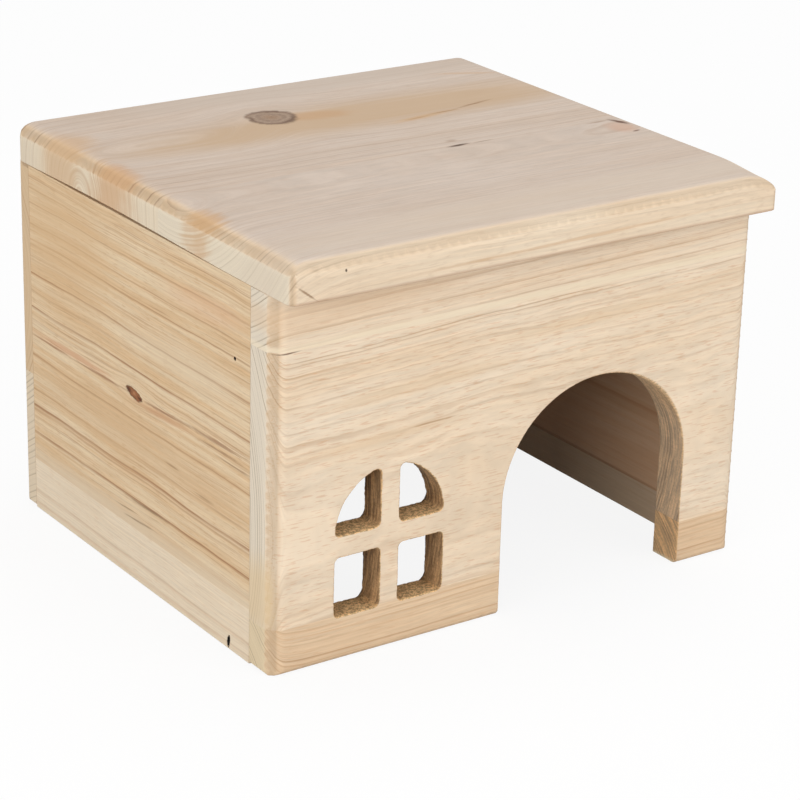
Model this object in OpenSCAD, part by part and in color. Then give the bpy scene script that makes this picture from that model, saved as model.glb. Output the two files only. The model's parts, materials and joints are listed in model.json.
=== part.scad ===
// Wooden hamster house: a front panel with an arched doorway and a four-pane window,
// a plain back panel, two sides between them and a roof that overhangs the front.
// It has no floor. The boards are edge-glued, so each is made of staves that meet
// face to face along straight glue lines, and every stave is a solid of its own.
//
// Millimetres. The origin is on the ground, under the middle of the overall box.
// The front faces -Y, +X is to its right and +Z is up.

/* [House] */
// Width of the house, and of the front panel, back panel and roof
house_w = 150; // [140:1:240]
// Depth of the body, from the front panel's face to the back panel's face
body_d = 132; // [90:1:220]
// Height of the walls, from the ground to the underside of the roof
wall_h = 100; // [85:1:160]

/* [Boards] */
// Thickness of the front panel
front_t = 10; // [6:0.5:16]
// Thickness of the back panel
back_t = 8; // [6:0.5:16]
// Thickness of the side boards
side_t = 8; // [5:0.5:14]
// Thickness of the roof board
roof_t = 10; // [6:0.5:18]

/* [Roof] */
// How far the roof stands out over the front
roof_overhang = 8; // [0:0.5:30]
// How far the roof stops short of the back panel's outer face
roof_back_step = 2; // [0:0.5:6]
// Radius of the round-over along the roof's front and end edges
roof_edge_r = 4; // [1:0.5:5]

/* [Panels] */
// Radius of the round-over on the panels' outer upright edges
panel_edge_r = 4.5; // [1:0.5:5]
// Radius of the smaller round-over on their outer bottom edge
panel_bottom_edge_r = 1.5; // [0.5:0.5:5]

/* [Doorway] */
// Width of the doorway
door_w = 60; // [30:1:72]
// Height of the doorway to the top of its arch
door_h = 61; // [41:1:78]
// Width of the leg between the doorway and the right edge of the front panel
door_leg_w = 20; // [12:1:32]

/* [Window] */
// Width of the window over all its panes, and the diameter of its arch
window_w = 32.6; // [20:0.2:44]
// Height of the window's sill above the ground
window_sill_h = 12; // [6:0.5:30]
// Distance from the left edge of the front panel to the window
window_left = 18.7; // [12:0.1:30]
// Width of the window's upright bar
mullion_w = 5.7; // [3:0.1:8]
// Height of the window's level bar, from which the arch springs
transom_h = 5.8; // [3:0.1:8]
// Height of the two lower panes
lower_pane_h = 16.2; // [8:0.1:30]
// Radius of the corners of the panes
pane_corner_r = 1.5; // [0.5:0.1:2.5]

/* [Staves] */
// Width of the bottom stave of the front panel
front_lower_stave_w = 12.5; // [6:0.5:30]
// Width of the top stave of the front panel
front_upper_stave_w = 14.5; // [6:0.5:20]
// Width of the bottom stave of the back panel
back_lower_stave_w = 40; // [20:1:70]
// Width of the bottom stave of the left side
left_lower_stave_w = 15; // [6:0.5:60]
// Width of the bottom stave of the right side
right_lower_stave_w = 10; // [6:0.5:60]
// Width of the front stave of the roof
roof_front_stave_w = 62; // [30:1:110]

/* [Hidden] */

$fn = 96;

// How far a cutting shape runs past the faces that it cuts
cut_over = 1;

// Places of the main faces
house_d = roof_overhang + body_d;
left_x = -house_w / 2;
right_x = house_w / 2;
roof_front_y = -house_d / 2;
front_y = roof_front_y + roof_overhang;
back_y = front_y + body_d;
roof_d = house_d - roof_back_step;
side_d = body_d - front_t - back_t;

// Doorway: straight jambs under a half-round arch
door_r = door_w / 2;
door_spring_h = door_h - door_r;
door_x = right_x - door_leg_w - door_r;

// Window: two bars divide it into two square panes and, above them, two quarter rounds
window_r = window_w / 2;
window_x = left_x + window_left + window_r;
pane_w = (window_w - mullion_w) / 2;
window_arch_z = window_sill_h + lower_pane_h + transom_h;

// ---- Outlines -------------------------------------------------------------

// Rectangle from the origin with all four corners rounded
module rounded_rectangle(width, height, r) {
    translate([r, 0]) square([width - 2 * r, height]);
    translate([0, r]) square([width, height - 2 * r]);
    for (x = [r, width - r], y = [r, height - r])
        translate([x, y]) circle(r);
}

// Rectangle from the origin with its two upper corners rounded
module round_topped_rectangle(width, height, r) {
    square([width, height - r]);
    translate([r, 0]) square([width - 2 * r, height]);
    for (x = [r, width - r])
        translate([x, height - r]) circle(r);
}

// Rectangle from the origin with only its upper left corner rounded
module one_round_rectangle(width, height, r) {
    square([width, height - r]);
    translate([r, 0]) square([width - r, height]);
    translate([r, height - r]) circle(r);
}

// Quarter of a disc about the origin that starts beside an upright bar and on a level one,
// with its three corners rounded
module quarter_pane(disc_r, bar_half_w, r) {
    corner_x = bar_half_w + r;
    tip_r = disc_r - r;
    low_x = sqrt(tip_r * tip_r - r * r);
    high_z = sqrt(tip_r * tip_r - corner_x * corner_x);
    reach = disc_r + cut_over;
    difference() {
        intersection() {
            circle(disc_r);
            translate([bar_half_w, 0]) rounded_rectangle(2 * disc_r, 2 * disc_r, r);
        }
        // the sharp tips at both ends of the arc, cut off on the rays through their corners' centres
        polygon([[low_x, r], [low_x, -cut_over], [reach, -cut_over], [reach, reach * r / low_x]]);
        polygon([[corner_x, high_z], [0, high_z], [0, reach], [reach * corner_x / high_z, reach]]);
    }
    translate([low_x, r]) circle(r);
    translate([corner_x, high_z]) circle(r);
}

// The four panes, seen from the front with the arch's centre at the origin
module window_outline() {
    for (side = [0, 1]) mirror([side, 0]) {
        quarter_pane(window_r, mullion_w / 2, pane_corner_r);
        translate([mullion_w / 2, window_sill_h - window_arch_z])
            rounded_rectangle(pane_w, lower_pane_h, pane_corner_r);
    }
}

// The doorway, seen from the front with the middle of its threshold at the origin
module door_outline() {
    translate([-door_r, -cut_over]) square([door_w, door_spring_h + cut_over]);
    translate([0, door_spring_h]) circle(door_r);
}

// ---- Boards ---------------------------------------------------------------

// Extrudes an outline drawn in X and Z along +Y, from the given place
module extrude_back(y, length) {
    translate([0, y + length, 0]) rotate([90, 0, 0]) linear_extrude(length) children();
}

// Part of the children between two heights
module between_heights(low_z, high_z) {
    intersection() {
        children();
        translate([left_x - cut_over, roof_front_y - cut_over, low_z])
            cube([house_w + 2 * cut_over, house_d + 2 * cut_over, high_z - low_z]);
    }
}

// Blank of the front or back panel, as it lies with its outer face at y = 0 and its body
// behind: both outer upright edges and the outer bottom edge are rounded over
module panel_blank(thickness) {
    intersection() {
        translate([left_x, thickness, 0]) linear_extrude(wall_h)
            mirror([0, 1]) round_topped_rectangle(house_w, thickness, panel_edge_r);
        translate([left_x - cut_over, 0, wall_h]) rotate([90, 0, 90]) linear_extrude(house_w + 2 * cut_over)
            mirror([0, 1]) one_round_rectangle(thickness, wall_h, panel_bottom_edge_r);
    }
}

module front_panel() {
    difference() {
        translate([0, front_y, 0]) panel_blank(front_t);
        extrude_back(front_y - cut_over, front_t + 2 * cut_over) {
            translate([door_x, 0]) door_outline();
            translate([window_x, window_arch_z]) window_outline();
        }
    }
}

module back_panel() {
    translate([0, back_y, 0]) mirror([0, 1, 0]) panel_blank(back_t);
}

// One stave of a side board, between two heights, with its outer left corner at the given place
module side_stave(x, low_z, high_z) {
    translate([x, front_y + front_t, low_z]) cube([side_t, side_d, high_z - low_z]);
}

// Roof board, rounded over along its front edge and both ends
module roof_board() {
    intersection() {
        translate([left_x, 0, wall_h])
            extrude_back(roof_front_y, roof_d) round_topped_rectangle(house_w, roof_t, roof_edge_r);
        translate([left_x - cut_over, roof_front_y, wall_h]) rotate([90, 0, 90])
            linear_extrude(house_w + 2 * cut_over) one_round_rectangle(roof_d, roof_t, roof_edge_r);
    }
}

// Part of the roof board from the given place backwards
module roof_stave(y, width) {
    intersection() {
        roof_board();
        translate([left_x - cut_over, y, wall_h - cut_over])
            cube([house_w + 2 * cut_over, width, roof_t + 2 * cut_over]);
    }
}

// ---- Staves ---------------------------------------------------------------

module roof_front_stave() {
    color("#D6C6B2") roof_stave(roof_front_y, roof_front_stave_w);
}

module roof_back_stave() {
    color("#CFBCA4") roof_stave(roof_front_y + roof_front_stave_w, roof_d - roof_front_stave_w);
}

module front_upper_stave() {
    color("#E8D6BC") between_heights(wall_h - front_upper_stave_w, wall_h) front_panel();
}

module front_middle_stave() {
    color("#EBDAC1") between_heights(front_lower_stave_w, wall_h - front_upper_stave_w) front_panel();
}

// Part of the bottom stave of the front panel, from one x to another
module front_lower_part(low_x, high_x) {
    color("#E3C8A2") intersection() {
        between_heights(0, front_lower_stave_w) front_panel();
        translate([low_x, front_y - cut_over, -cut_over])
            cube([high_x - low_x, front_t + 2 * cut_over, wall_h]);
    }
}

module front_lower_left_stave() {
    front_lower_part(left_x - cut_over, door_x);
}

module front_lower_right_stave() {
    front_lower_part(door_x, right_x + cut_over);
}

module left_side_upper_stave() {
    color("#DCC19A") side_stave(left_x, left_lower_stave_w, wall_h);
}

module left_side_lower_stave() {
    color("#DFCBAC") side_stave(left_x, 0, left_lower_stave_w);
}

module right_side_upper_stave() {
    color("#DCC19A") side_stave(right_x - side_t, right_lower_stave_w, wall_h);
}

module right_side_lower_stave() {
    color("#DFCBAC") side_stave(right_x - side_t, 0, right_lower_stave_w);
}

module back_upper_stave() {
    color("#DEC29C") between_heights(back_lower_stave_w, wall_h) back_panel();
}

module back_lower_stave() {
    color("#E2CDAE") between_heights(0, back_lower_stave_w) back_panel();
}

roof_front_stave();
roof_back_stave();
front_upper_stave();
front_middle_stave();
front_lower_left_stave();
front_lower_right_stave();
left_side_upper_stave();
left_side_lower_stave();
right_side_upper_stave();
right_side_lower_stave();
back_upper_stave();
back_lower_stave();
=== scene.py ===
"""Wooden hamster house: boards, solid wood and studio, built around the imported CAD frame.

Lengths are millimetres in the part's own frame: the front faces -Y and +Z is up. A mesh, a lamp
and the camera get metres when they are made. Each board is built whole, with its eased edges, and
is then parted along its glue lines into staves, each of which stands for one CAD node.
"""

import functools
import json
import math
from collections import namedtuple

import bmesh
import bpy
import numpy as np
from mathutils import Euler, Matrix, Vector, kdtree, noise
from mathutils.geometry import delaunay_2d_cdt


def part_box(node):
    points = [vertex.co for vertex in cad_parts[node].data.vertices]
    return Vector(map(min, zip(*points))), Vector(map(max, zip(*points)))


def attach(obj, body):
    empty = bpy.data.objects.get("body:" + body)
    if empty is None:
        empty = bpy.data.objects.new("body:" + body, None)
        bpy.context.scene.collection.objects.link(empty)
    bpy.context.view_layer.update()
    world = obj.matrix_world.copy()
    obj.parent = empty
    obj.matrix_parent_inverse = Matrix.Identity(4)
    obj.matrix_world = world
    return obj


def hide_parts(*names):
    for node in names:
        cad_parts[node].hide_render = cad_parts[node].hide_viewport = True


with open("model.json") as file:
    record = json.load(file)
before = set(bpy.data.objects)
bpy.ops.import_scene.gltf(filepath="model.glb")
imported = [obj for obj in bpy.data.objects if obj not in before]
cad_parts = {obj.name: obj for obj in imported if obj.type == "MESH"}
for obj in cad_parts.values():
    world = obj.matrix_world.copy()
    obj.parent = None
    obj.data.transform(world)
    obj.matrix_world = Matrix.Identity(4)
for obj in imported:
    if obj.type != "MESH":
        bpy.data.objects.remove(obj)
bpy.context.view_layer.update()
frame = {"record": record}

MM = 0.001
X, Y, Z = 0, 1, 2

# ---- Sizes that the frame doesn't give -------------------

ROOF_ROUND = 4.0  # round-over on the roof's front and end edges
ROOF_END_ROUND_W = 5.6  # at the ends it is worn wider than it is deep
PANEL_ROUND = 4.5  # round-over on the outer upright edges of the front and back panels
PANEL_BOTTOM_ROUND = 1.5  # the smaller one on their outer bottom edge
PANEL_CORNER_R = 0.8
EASE = 0.3  # sanded-off arris on every other edge
JOINT_EASE = 0.12  # the same where two boards meet
ROOF_CORNER_R = 2.2
ROOF_CUP = 0.65  # how far the cupped roof lifts off the sides
ROOF_CUP_FROM, ROOF_CUP_TO = -45.0, 68.0
ROOF_CUP_SKEW, ROOF_CUP_POWER = 1.15, 1.5
ROOF_WORN_CORNER = (10.0, 22.0, 1.8)  # its front right corner: reach across, reach back, and depth

DOOR_LEFT, DOOR_RIGHT, DOOR_SPRING = -5.0, 55.0, 31.0
DOOR_EASE = 0.35
DOOR_WORN_EASE = 1.1  # where the arch's arris is worn most
DOOR_WORN_AT = (47.0, 52.0)
DOOR_WORN_REACH = 15.0
DOOR_MILLED = 0.75  # how far the doorway's edge shows the cutter's torn grain, where the window's is 1; above 0.8 the torn end grain also gets painted shade, so the doorway's stays lighter
WINDOW_X, WINDOW_SPRING, WINDOW_R = -40.0, 34.0, 16.3
WINDOW_SILL, LOWER_PANE_H = 12.0, 16.2
MULLION_W = 5.7
PANE_CORNER_R = 1.5
PANE_EASE = 0.35
PANE_EASE_CHANGE, PANE_EASE_SPAN = 0.5, 1.1  # how far that varies, and over what length

PANE_ROUGHNESS = 0.13  # how far the milled edges of the window wander
DOOR_ROUGHNESS = 0.07
ROUGH_FINE, ROUGH_COARSE = (0.9, 0.75), (3.5, 0.5)  # size of the unevenness, and its share
TORN_BACK = (1.9, 2.6)  # fibres torn out along the panes' back arris: across the wood, and deep
TORN_ROUGHER = 2.2  # there and a little beyond
TORN_BEYOND = 0.1
SOFT_CORNER = 5  # power that joins the round-overs at a corner, softer than a mitre when lower

EDGE_STEP, PLAIN_EDGE_STEP, PANE_STEP = 1.0, 1.5, 0.4  # between the points along an outline
FACE_STEP, PLAIN_FACE_STEP = 3.0, 4.0  # between the points across a face
ROW_STEP, DOOR_ROW_STEP, PANE_ROW_STEP = 1.2, 0.7, 0.5  # between the rows down an edge
DENT_REACH = 2.2  # a dent's own finer mesh, in half sizes
DENT_CELLS = 18
DENT_MARGIN = 0.3  # between that and the points around it
DENT_EDGE = (1.25, 0.5)  # where its wall starts, in half sizes, and how far the wall reaches in
ON_FACE = 0.05  # a point no deeper than this lies on the good face
RIM_CLEARANCE = 0.45  # between the points inside a face and its rim
ROUND_STATIONS = (28, 90, 8)  # degrees round the curve, first and last, and how many
MITRE_LIMIT = -0.4  # cosine of the sharpest turn that an offset is mitred for
SHARP_ANGLE = 38.0
NORMAL_WEIGHT = 60


def new_object(name, data):
    obj = bpy.data.objects.new(name, data)
    bpy.context.scene.collection.objects.link(obj)
    return obj


# ---- Outlines --------------------------------------------


def arc(centre, radius, start, stop, step):
    """Points along an arc, in degrees, both ends included."""
    count = max(2, int(abs(math.radians(stop - start)) * radius / step) + 1)
    angles = np.radians(np.linspace(start, stop, count))
    return [(centre[0] + radius * math.cos(a), centre[1] + radius * math.sin(a)) for a in angles]


def closed(points, step):
    """The closed outline through the points, with its straight stretches cut into steps."""
    points = np.array(points, float)
    dense = []
    for here, there in zip(points, np.roll(points, -1, axis=0)):
        length = math.dist(here, there)
        if length < 1e-4:
            continue
        count = max(1, int(round(length / step)))
        dense += [here + (there - here) * k / count for k in range(count)]
    return np.array(dense)


def rectangle(low, high, corner_r, step):
    """A rectangle with rounded corners, anticlockwise."""
    points = []
    corners = (
        (high[0] - corner_r, low[1] + corner_r, 270),
        (high[0] - corner_r, high[1] - corner_r, 0),
        (low[0] + corner_r, high[1] - corner_r, 90),
        (low[0] + corner_r, low[1] + corner_r, 180),
    )
    for cx, cy, start in corners:
        points += arc((cx, cy), corner_r, start, start + 90, step)
    return closed(points, step)


def quarter_pane(step):
    """The upper right pane about the arch's centre, anticlockwise, with three rounded corners."""
    r = PANE_CORNER_R
    bar = MULLION_W / 2
    tip_r = WINDOW_R - r
    low = (math.sqrt(tip_r**2 - r**2), r)
    high = (bar + r, math.sqrt(tip_r**2 - (bar + r) ** 2))
    low_angle = math.degrees(math.atan2(low[1], low[0]))
    high_angle = math.degrees(math.atan2(high[1], high[0]))
    points = arc((bar + r, r), r, 180, 270, step)
    points += arc(low, r, 270, 360 + low_angle, step)
    points += arc((0, 0), WINDOW_R, low_angle, high_angle, step)
    points += arc(high, r, high_angle, 180, step)
    return closed(points, step)


def window_panes(step):
    """The outlines of the four panes, clockwise, as openings are."""
    square = rectangle(
        (MULLION_W / 2, WINDOW_SILL - WINDOW_SPRING),
        (WINDOW_R, WINDOW_SILL - WINDOW_SPRING + LOWER_PANE_H),
        PANE_CORNER_R,
        step,
    )
    panes = []
    for pane in (quarter_pane(step), square):
        panes.append(pane[::-1] + (WINDOW_X, WINDOW_SPRING))
        panes.append(pane * (-1, 1) + (WINDOW_X, WINDOW_SPRING))
    return panes


def front_outline(low, high, corner_r, step):
    """The front panel's outline with the doorway, anticlockwise, and which points border the door."""
    radius = (DOOR_RIGHT - DOOR_LEFT) / 2
    middle = (DOOR_LEFT + DOOR_RIGHT) / 2
    door = [(DOOR_LEFT, low[1])]
    door += arc((middle, DOOR_SPRING), radius, 180, 0, step / 2)
    door += [(DOOR_RIGHT, low[1])]
    points = arc((low[0] + corner_r, low[1] + corner_r), corner_r, 180, 270, step) + door
    points += arc((high[0] - corner_r, low[1] + corner_r), corner_r, 270, 360, step)
    points += [(high[0], high[1]), (low[0], high[1])]
    outline = closed(points, step)
    in_door = (
        (outline[:, 0] > DOOR_LEFT - 0.01)
        & (outline[:, 0] < DOOR_RIGHT + 0.01)
        & (outline[:, 1] > low[1] + 0.01)
        & (outline[:, 1] < high[1] - 1)
    )
    return outline, in_door


# ---- Boards ----------------------------------------------


def into_wood(outline):
    """Mitred unit offsets at an outline's points, to the left of the way it runs."""
    ahead = np.roll(outline, -1, axis=0) - outline
    ahead /= np.linalg.norm(ahead, axis=1)[:, None]
    behind = np.roll(ahead, 1, axis=0)
    left_ahead = np.stack([-ahead[:, 1], ahead[:, 0]], axis=1)
    left_behind = np.stack([-behind[:, 1], behind[:, 0]], axis=1)
    cosine = (left_ahead * left_behind).sum(axis=1)
    return (left_ahead + left_behind) / (1 + np.maximum(cosine, MITRE_LIMIT))[:, None]


def profile_rows(edge, thickness):
    """Rows of an edge's profile, from one face to the other: offset into the wood, and depth."""
    ease = edge.ease
    still = np.zeros(len(ease))
    turns = [math.radians(a) for a in (0, 30, 60, 90)]
    rows = [(ease * (1 - math.sin(a)), ease * (1 - math.cos(a))) for a in turns]
    back = [(offset, thickness - depth) for offset, depth in reversed(rows)]
    if edge.torn:
        offset, depth = edge.torn
        parts = np.linspace(0, 1, 5)
        back = [(still + offset * t, thickness - depth * (1 - t)) for t in parts]
    wall_end = back[0][1]
    count = max(1, int((np.mean(wall_end) - EASE) / edge.row_step))
    for k in range(1, count):
        rows.append((still, ease + (wall_end - ease) * k / count))
    return rows + back


def inside(points, outlines):
    """Whether each point lies inside an odd number of the outlines."""
    hits = np.zeros(len(points), bool)
    for outline in outlines:
        x0, y0 = outline.T
        x1, y1 = np.roll(outline, -1, axis=0).T
        for k, (px, py) in enumerate(points):
            spans = (y0 > py) != (y1 > py)
            crossing = (x1 - x0)[spans] * (py - y0[spans]) / (y1 - y0)[spans] + x0[spans]
            hits[k] ^= bool(np.count_nonzero(crossing > px) % 2)
    return hits


def stations(low, high, step, round_low=0.0, round_high=0.0):
    """Places across a face, closer where an edge is rounded over."""
    turns = np.radians(np.linspace(*ROUND_STATIONS))
    near = [low + round_low * (1 - math.cos(a)) for a in turns] if round_low else [low + step / 2]
    far = [high - round_high * (1 - math.cos(a)) for a in turns] if round_high else [high - step / 2]
    far = far[::-1]
    count = max(1, int(round((far[0] - near[-1]) / step)))
    middle = [near[-1] + (far[0] - near[-1]) * k / count for k in range(1, count)]
    return near + middle + far


def smooth(part):
    """Eases from 0 to 1 as the part does, and stays there."""
    part = min(max(part, 0.0), 1.0)
    return part * part * (3 - 2 * part)


def wobble(place, size, seed):
    """Smooth noise from -1 to 1 at a place, for features of about the given size."""
    return noise.noise(Vector(place) / size + Vector((seed * 7.3, seed * 3.1, seed * 5.7)))


class Edge:
    """One outline of a board, with its eased arris, its roughness and its torn back arris."""

    def __init__(self, outline, ease, rough=0.0, milled=0.0, row_step=ROW_STEP, torn=None):
        self.outline = outline
        self.ease = np.broadcast_to(ease, len(outline))
        self.rough = np.broadcast_to(rough, len(outline))
        self.milled = np.broadcast_to(milled, len(outline))
        self.row_step = row_step
        self.torn = torn


def board_mesh(edges, thickness, columns, rows, dents, shape, place, seed):
    """A closed board: outlines in (u, v), depth w from its good face, shaped and placed in mm.

    Dents are (u, v, half_u, half_v, slant, depth), pressed into the good face.
    """
    verts, milled, faces = [], [], []
    face_rings = {0: [], 1: []}

    def add(u, v, w, torn=0.0):
        verts.append((u, v, float(w)))
        milled.append(float(torn))
        return len(verts) - 1

    for edge in edges:
        normals = into_wood(edge.outline)
        profile = profile_rows(edge, thickness)
        count = len(edge.outline)
        first = len(verts)
        for number, (offset, depth) in enumerate(profile):
            depth = np.broadcast_to(depth, count)
            on_face = number in (0, len(profile) - 1)
            for k in range(count):
                u, v = edge.outline[k]
                ragged = 0.0
                if edge.rough[k]:
                    spot = (u, v, float(depth[k]))
                    ragged = ROUGH_FINE[1] * wobble(spot, ROUGH_FINE[0], seed)
                    ragged += ROUGH_COARSE[1] * wobble(spot, ROUGH_COARSE[0], seed + 1)
                    ragged *= edge.rough[k]
                    if edge.torn and thickness - depth[k] < edge.torn[1] + TORN_BEYOND:
                        ragged *= TORN_ROUGHER
                out = normals[k] * (float(offset[k]) + ragged)
                add(u + out[0], v + out[1], depth[k], 0.0 if on_face else edge.milled[k])
        for row in range(len(profile) - 1):
            base = first + row * count
            for k in range(count):
                after = (k + 1) % count
                faces.append((base + k, base + after, base + count + after, base + count + k))
        face_rings[0].append(range(first, first + count))
        last = first + (len(profile) - 1) * count
        face_rings[1].append(range(last, last + count))

    grid = [(u, v) for u in columns for v in rows]
    for side, rings in face_rings.items():
        spots = list(grid)
        if side == 0:
            for cu, cv, half_u, half_v, _, _ in dents:
                far_u = DENT_REACH * half_u + DENT_MARGIN
                far_v = DENT_REACH * half_v + DENT_MARGIN
                spots = [p for p in spots if abs(p[0] - cu) > far_u or abs(p[1] - cv) > far_v]
                cells = np.arange(-DENT_REACH, DENT_REACH + 0.01, 2 * DENT_REACH / DENT_CELLS)
                spots += [(a, b) for a in cells * half_u + cu for b in cells * half_v + cv]
        ring_points = [np.array([verts[i][:2] for i in ring]) for ring in rings]
        spots = np.array(spots)
        spots = spots[inside(spots, ring_points)]
        tree = kdtree.KDTree(sum(len(r) for r in ring_points))
        for k, point in enumerate(np.concatenate(ring_points)):
            tree.insert((point[0], point[1], 0), k)
        tree.balance()
        spots = [p for p in spots if tree.find((p[0], p[1], 0))[2] > RIM_CLEARANCE]
        depth = thickness * side
        indices = [i for ring in rings for i in ring]
        constraints = []
        for ring in rings:
            start, count = len(constraints), len(ring)
            constraints += [(start + k, start + (k + 1) % count) for k in range(count)]
        indices += [add(u, v, depth) for u, v in spots]
        flat = [Vector(verts[i][:2]) for i in indices]
        out_verts, _, out_faces, sources, _, _ = delaunay_2d_cdt(flat, constraints, [], 1, 1e-5)
        index_of = [
            indices[source[0]] if source else add(*position, depth)
            for position, source in zip(out_verts, sources)
        ]
        # Triangles with all corners on one opening's rim lie in that opening.
        rim_of = {i: number for number, ring in enumerate(rings[1:]) for i in ring}
        for face in out_faces:
            corners = tuple(index_of[i] for i in face)
            rims = {rim_of.get(i, -1) for i in corners}
            if len(rims) > 1 or rims == {-1}:
                faces.append(corners)

    shaped = []
    for u, v, w in verts:
        if w < ON_FACE:
            for cu, cv, half_u, half_v, slant, deep in dents:
                du, dv = u - cu, v - cv
                c, s = math.cos(math.radians(slant)), math.sin(math.radians(slant))
                distance = math.hypot((du * c + dv * s) / half_u, (dv * c - du * s) / half_v)
                w += deep * smooth((DENT_EDGE[0] - distance) / DENT_EDGE[1])
        shaped.append(place(*shape(u, v, w)))

    mesh = bpy.data.meshes.new("board")
    mesh.from_pydata([tuple(c * MM for c in p) for p in shaped], [], faces)
    attribute = mesh.attributes.new("milled", "FLOAT", "POINT")
    attribute.data.foreach_set("value", milled)
    board = bmesh.new()
    board.from_mesh(mesh)
    bpy.data.meshes.remove(mesh)
    loose = [v for v in board.verts if not v.link_faces]
    bmesh.ops.delete(board, geom=loose, context="VERTS")
    bmesh.ops.remove_doubles(board, verts=board.verts, dist=1e-7)
    bmesh.ops.recalc_face_normals(board, faces=board.faces)
    return board


def rounded_back(distance, radius, width=None):
    """How far a round-over lies below the face at a distance in from the edge."""
    width = width or radius
    inset = 1 - min(max(distance / width, 0.0), 1.0)
    return radius * (1 - math.sqrt(max(1 - inset**2, 0.0)))


def blend_rounds(*drops):
    """Joins the round-overs of edges that meet at a corner, a little softer than a mitre."""
    return sum(d**SOFT_CORNER for d in drops) ** (1 / SOFT_CORNER)


def part_off(board, cuts):
    """A copy of the board, kept on the wanted side of each (axis, place, keep_above) plane."""
    piece = board.copy()
    for axis, place, keep_above in cuts:
        normal = Vector((0, 0, 0))
        normal[axis] = 1
        result = bmesh.ops.bisect_plane(
            piece,
            geom=piece.verts[:] + piece.edges[:] + piece.faces[:],
            plane_co=normal * place * MM,
            plane_no=normal,
            clear_inner=keep_above,
            clear_outer=not keep_above,
            dist=1e-8,
        )
        rim = [e for e in result["geom_cut"] if isinstance(e, bmesh.types.BMEdge)]
        bmesh.ops.edgeloop_fill(piece, edges=rim)
    bmesh.ops.recalc_face_normals(piece, faces=piece.faces)
    return piece


def box_mm(*nodes):
    """The lowest and highest corners of some CAD nodes together."""
    lows, highs = zip(*(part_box(n) for n in nodes))
    low = [min(c[axis] for c in lows) / MM for axis in (X, Y, Z)]
    high = [max(c[axis] for c in highs) / MM for axis in (X, Y, Z)]
    return low, high


def make_piece(node, piece, material, slot):
    """Turns a stave's mesh into the object that stands for its CAD node."""
    mesh = bpy.data.meshes.new(node + "_wood")
    piece.to_mesh(mesh)
    piece.free()
    mesh.shade_smooth()
    mesh.set_sharp_from_angle(angle=math.radians(SHARP_ANGLE))
    mesh.materials.append(material)
    obj = new_object(node + "_wood", mesh)
    weighted = obj.modifiers.new("face normals", "WEIGHTED_NORMAL")
    weighted.keep_sharp = True
    weighted.weight = NORMAL_WEIGHT
    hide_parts(node)
    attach(obj, "root")


# ---- Node graphs -----------------------------------------


def srgb(red, green, blue):
    """A colour written as 0-255 display values, as the shader's linear RGBA."""
    channels = [c / 255 for c in (red, green, blue)]
    linear = [c / 12.92 if c <= 0.04045 else ((c + 0.055) / 1.055) ** 2.4 for c in channels]
    return (*linear, 1.0)


class Graph:
    """The node graph of a material or a world, written as expressions."""

    def __init__(self, owner):
        owner.use_nodes = True
        self.owner = owner
        self.nodes, self.links = owner.node_tree.nodes, owner.node_tree.links
        self.nodes.clear()

    def add(self, kind, inputs=(), **settings):
        row, column = divmod(len(self.nodes), 12)
        node = self.nodes.new(kind)
        node.location = (180 * column, -220 * row)
        for key, value in settings.items():
            setattr(node, key, value)
        for key, value in dict(inputs).items():
            self.feed(node.inputs[key], value)
        return node

    def feed(self, socket, value):
        if isinstance(value, bpy.types.NodeSocket):
            self.links.new(value, socket)
        else:
            socket.default_value = value

    def math(self, operation, *values):
        node = self.add("ShaderNodeMath", enumerate(values), operation=operation)
        return node.outputs[0]

    def plus(self, value, other):
        return self.math("ADD", value, other)

    def minus(self, value, other):
        return self.math("SUBTRACT", value, other)

    def times(self, value, factor):
        return self.math("MULTIPLY", value, factor)

    def squared(self, value):
        return self.math("POWER", value, 2.0)

    def absolute(self, value):
        return self.math("ABSOLUTE", value)

    def vector(self, x, y, z):
        return self.add("ShaderNodeCombineXYZ", {0: x, 1: y, 2: z}).outputs[0]

    def noise(self, vector, detail=2.0, roughness=0.5):
        inputs = {"Vector": vector, "Scale": 1.0, "Detail": detail, "Roughness": roughness}
        return self.add("ShaderNodeTexNoise", inputs).outputs["Fac"]

    def step(self, value, low, high, out_low=0.0, out_high=1.0):
        """Eases from out_low to out_high while the value goes from low to high."""
        inputs = {"Value": value, "From Min": low, "From Max": high}
        inputs.update({"To Min": out_low, "To Max": out_high})
        node = self.add("ShaderNodeMapRange", inputs, interpolation_type="SMOOTHSTEP")
        return node.outputs["Result"]

    def centred(self, value, amount):
        """Noise from 0 to 1 as an offset about zero."""
        return self.math("MULTIPLY_ADD", value, 2 * amount, -amount)

    def blend(self, factor, under, over, mode="MIX"):
        node = self.add("ShaderNodeMix", data_type="RGBA", blend_type=mode)
        node.clamp_factor = True
        for key, value in ((0, factor), (6, under), (7, over)):
            self.feed(node.inputs[key], value)
        return node.outputs[2]

    def shade(self, colour, factor):
        """The colour times a grey factor."""
        grey = self.add("ShaderNodeCombineColor", {0: factor, 1: factor, 2: factor}).outputs[0]
        return self.blend(1.0, colour, grey, "MULTIPLY")

    def tone(self, colour, value, low, high, dark, light):
        """Shades the colour from dark to light while the value goes from low to high."""
        return self.shade(colour, self.step(value, low, high, dark, light))

    def ellipse(self, across, along, centre, half, slant=0.0):
        """Distance from a centre, 1 on the ellipse."""
        c, s = math.cos(math.radians(slant)), math.sin(math.radians(slant))
        da = self.minus(along, centre[0])
        dt = self.minus(across, centre[1])
        major = self.math("MULTIPLY_ADD", da, c / half[0], self.times(dt, s / half[0]))
        minor = self.math("MULTIPLY_ADD", dt, c / half[1], self.times(da, -s / half[1]))
        total = self.plus(self.squared(major), self.squared(minor))
        return self.math("SQRT", total)


# ---- Wood ------------------------------------------------

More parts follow.
